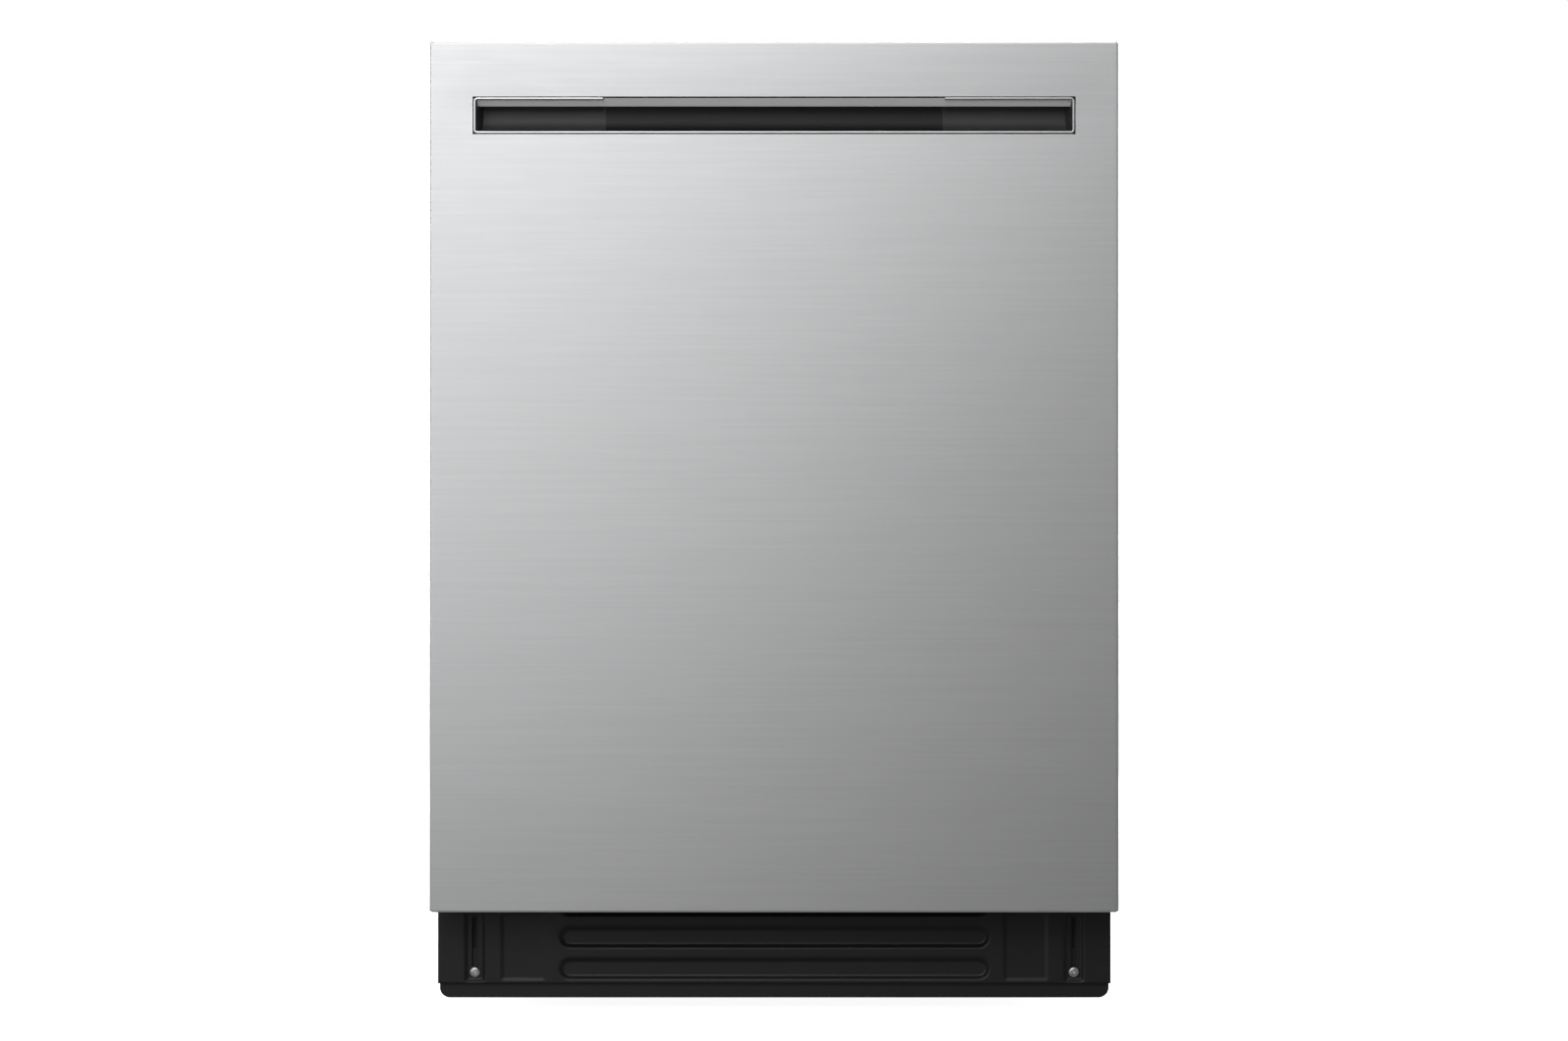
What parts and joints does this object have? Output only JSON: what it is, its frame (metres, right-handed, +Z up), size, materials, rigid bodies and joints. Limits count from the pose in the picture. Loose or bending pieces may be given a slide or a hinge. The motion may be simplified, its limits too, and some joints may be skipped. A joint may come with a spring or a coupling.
{
  "type": "built-in dishwasher",
  "caption": "Built-in front-loading dishwasher with a flat drop-down door, recessed pocket handle, hidden top controls, sliding racks, spray arms and a recessed toe kick.",
  "frame": {"origin": "on the floor, at the middle of the outline's width and depth", "axes": "+X to the right of someone facing the door, -Y out of the door, +Z up"},
  "size_m": [0.603, 0.625, 0.854],
  "materials": {
    "front_steel": "horizontal brushed grain, satin",
    "trim_chrome": "satin bright",
    "pocket_grey": "fine moulded grain",
    "tub_steel": "polished satin",
    "frame_zinc": "galvanised",
    "spring_steel": "oiled spring wire",
    "rail_steel": "bright rolled",
    "kick_black": "satin black powder coat",
    "screw_zinc": "zinc plated",
    "base_plastic": "glass filled, fine texture",
    "foot_plastic": "moulded",
    "pump_plastic": "moulded",
    "panel_black": "satin gloss",
    "key_grey": "soft satin",
    "seal_rubber": "soft moulded",
    "rack_coating": "nylon coated wire",
    "rack_plastic": "moulded",
    "wash_plastic": "moulded",
    "sump_plastic": "moulded",
    "filter_mesh": "perforated",
    "dispenser_plastic": "moulded",
    "felt": "needled felt"
  },
  "bodies": {
    "cabinet": {"tub_wrapper": "tub_steel", "tub_back": "tub_steel", "tub_floor": "tub_steel", "tub_gasket": "seal_rubber", "front_frame": "frame_zinc", "base_pan": "base_plastic", "sound_blanket": "felt", "toe_kick_panel": "kick_black", "hinge_pins": "frame_zinc", "counter_brackets": "frame_zinc", "junction_box": "base_plastic", "inlet_valve": "pump_plastic", "drain_pump": "pump_plastic", "circulation_pump": "pump_plastic", "sump": "sump_plastic", "feed_tube": "wash_plastic", "outer_rails": "rail_steel", "filter_plate": "filter_mesh", "latch_keeper": "frame_zinc", "door_spring_left": "spring_steel", "door_spring_right": "spring_steel"},
    "toe_skirt": {"toe_kick_skirt": "kick_black", "toe_kick_screws": "screw_zinc"},
    "leg_front_left": {"foot_front_left": "foot_plastic"},
    "leg_front_right": {"foot_front_right": "foot_plastic"},
    "leg_rear_left": {"foot_rear_left": "foot_plastic"},
    "leg_rear_right": {"foot_rear_right": "foot_plastic"},
    "float": {"float_cap": "wash_plastic"},
    "fine_filter": {"filter_cartridge": "wash_plastic"},
    "top_arm": {"top_spray_arm": "wash_plastic"},
    "lower_arm": {"lower_spray_arm": "wash_plastic"},
    "middle_arm": {"middle_spray_arm": "wash_plastic"},
    "door": {"door_skin": "front_steel", "handle_pocket": "pocket_grey", "pocket_bezel": "trim_chrome", "door_liner": "tub_steel", "control_panel": "panel_black", "hinge_arm_left": "frame_zinc", "hinge_arm_right": "frame_zinc", "dispenser_body": "dispenser_plastic", "door_vent": "dispenser_plastic", "door_bottom_seal": "seal_rubber", "door_latch": "pump_plastic"},
    "detergent_lid": {"dispenser_lid": "dispenser_plastic"},
    "rinse_cap": {"rinse_aid_cap": "dispenser_plastic"},
    "key_power": {"button_power": "key_grey"},
    "key_cycle": {"button_cycle": "key_grey"},
    "key_options": {"button_options": "key_grey"},
    "key_start": {"button_start": "key_grey"},
    "rails": {"rail_left": "rail_steel", "rail_right": "rail_steel"},
    "upper_rack": {"upper_rack_basket": "rack_coating", "rack_duct": "wash_plastic"},
    "upper_tines": {"upper_rack_tines": "rack_coating"},
    "cup_rest": {"cup_shelf": "rack_plastic"},
    "lower_rack": {"lower_rack_basket": "rack_coating"},
    "lower_tines": {"lower_rack_tines": "rack_coating"},
    "front_wheels": {"rack_wheels_front": "rack_plastic"},
    "rear_wheels": {"rack_wheels_rear": "rack_plastic"},
    "cutlery": {"cutlery_basket": "rack_plastic"}
  },
  "joints": [
    {"name": "door_hinge", "type": "hinge", "parent": "cabinet", "child": "door", "pos_m": [0, -0.282, 0.112], "axis": [1, 0, 0], "range_deg": [0, 90], "stiffness_Nm_per_rad": 20, "springref_deg": -5.73, "deforming": ["door_spring_left", "door_spring_right"]},
    {"name": "toe_skirt_slide", "type": "slide", "parent": "cabinet", "child": "toe_skirt", "axis": [0, 0, 1], "range_m": [0, 0.045]},
    {"name": "foot_front_left_screw", "type": "slide", "parent": "cabinet", "child": "leg_front_left", "axis": [0, 0, -1], "range_m": [0, 0.028]},
    {"name": "foot_front_right_screw", "type": "slide", "parent": "cabinet", "child": "leg_front_right", "axis": [0, 0, -1], "range_m": [0, 0.028]},
    {"name": "foot_rear_left_screw", "type": "slide", "parent": "cabinet", "child": "leg_rear_left", "axis": [0, 0, -1], "range_m": [0, 0.028]},
    {"name": "foot_rear_right_screw", "type": "slide", "parent": "cabinet", "child": "leg_rear_right", "axis": [0, 0, -1], "range_m": [0, 0.028]},
    {"name": "float_lift", "type": "slide", "parent": "cabinet", "child": "float", "axis": [0, 0, 1], "range_m": [0, 0.01]},
    {"name": "filter_twist", "type": "hinge", "parent": "cabinet", "child": "fine_filter", "pos_m": [0.05, -0.039, 0.087], "axis": [0, 0, 1], "range_deg": [0, 90]},
    {"name": "top_arm_spin", "type": "hinge", "parent": "cabinet", "child": "top_arm", "pos_m": [0, 0.003, 0.783], "axis": [0, 0, 1], "continuous": true},
    {"name": "lower_arm_spin", "type": "hinge", "parent": "cabinet", "child": "lower_arm", "pos_m": [0, 0.003, 0.126], "axis": [0, 0, 1], "continuous": true},
    {"name": "rail_extension", "type": "slide", "parent": "cabinet", "child": "rails", "axis": [0, -1, 0], "range_m": [0, 0.212]},
    {"name": "upper_rack_slide", "type": "slide", "parent": "rails", "child": "upper_rack", "axis": [0, -1, 0], "range_m": [0, 0.212]},
    {"name": "middle_arm_spin", "type": "hinge", "parent": "upper_rack", "child": "middle_arm", "pos_m": [0, 0.003, 0.453], "axis": [0, 0, 1], "continuous": true},
    {"name": "upper_tines_fold", "type": "hinge", "parent": "upper_rack", "child": "upper_tines", "pos_m": [0.02, 0, 0.4868], "axis": [0, 1, 0], "range_deg": [0, 80]},
    {"name": "cup_shelf_fold", "type": "hinge", "parent": "upper_rack", "child": "cup_rest", "pos_m": [-0.236, -0.1, 0.572], "axis": [0, -1, 0], "range_deg": [0, 85]},
    {"name": "lower_rack_slide", "type": "slide", "parent": "cabinet", "child": "lower_rack", "axis": [0, -1, 0], "range_m": [0, 0.141]},
    {"name": "lower_tines_fold", "type": "hinge", "parent": "lower_rack", "child": "lower_tines", "pos_m": [0, 0.075, 0.1708], "axis": [1, 0, 0], "range_deg": [0, 80]},
    {"name": "front_wheels_roll", "type": "hinge", "parent": "lower_rack", "child": "front_wheels", "pos_m": [0, -0.085, 0.1418], "axis": [1, 0, 0], "continuous": true},
    {"name": "rear_wheels_roll", "type": "hinge", "parent": "lower_rack", "child": "rear_wheels", "pos_m": [0, 0.165, 0.1418], "axis": [1, 0, 0], "continuous": true},
    {"name": "cutlery_lift", "type": "slide", "parent": "lower_rack", "child": "cutlery", "axis": [0, 0, 1], "range_m": [0, 0.1]},
    {"name": "detergent_lid_slide", "type": "slide", "parent": "door", "child": "detergent_lid", "axis": [-1, 0, 0], "range_m": [0, 0.07]},
    {"name": "rinse_cap_twist", "type": "hinge", "parent": "door", "child": "rinse_cap", "pos_m": [0.022, -0.258, 0.47], "axis": [0, 1, 0], "range_deg": [0, 90]},
    {"name": "power_key_press", "type": "slide", "parent": "door", "child": "key_power", "axis": [0, 0, -1], "range_m": [0, 0.001], "stiffness_N_per_m": 800, "springref_m": -0.001},
    {"name": "cycle_key_press", "type": "slide", "parent": "door", "child": "key_cycle", "axis": [0, 0, -1], "range_m": [0, 0.001], "stiffness_N_per_m": 800, "springref_m": -0.001},
    {"name": "options_key_press", "type": "slide", "parent": "door", "child": "key_options", "axis": [0, 0, -1], "range_m": [0, 0.001], "stiffness_N_per_m": 800, "springref_m": -0.001},
    {"name": "start_key_press", "type": "slide", "parent": "door", "child": "key_start", "axis": [0, 0, -1], "range_m": [0, 0.001], "stiffness_N_per_m": 800, "springref_m": -0.001}
  ],
  "couplings": [
    {"joint": "rail_extension", "follows": "door_hinge", "m_per_rad": 0.13369},
    {"joint": "upper_rack_slide", "follows": "door_hinge", "m_per_rad": 0.13369},
    {"joint": "lower_rack_slide", "follows": "door_hinge", "m_per_rad": 0.089127},
    {"joint": "front_wheels_roll", "follows": "door_hinge", "ratio": 5.093},
    {"joint": "rear_wheels_roll", "follows": "door_hinge", "ratio": 5.093}
  ]
}
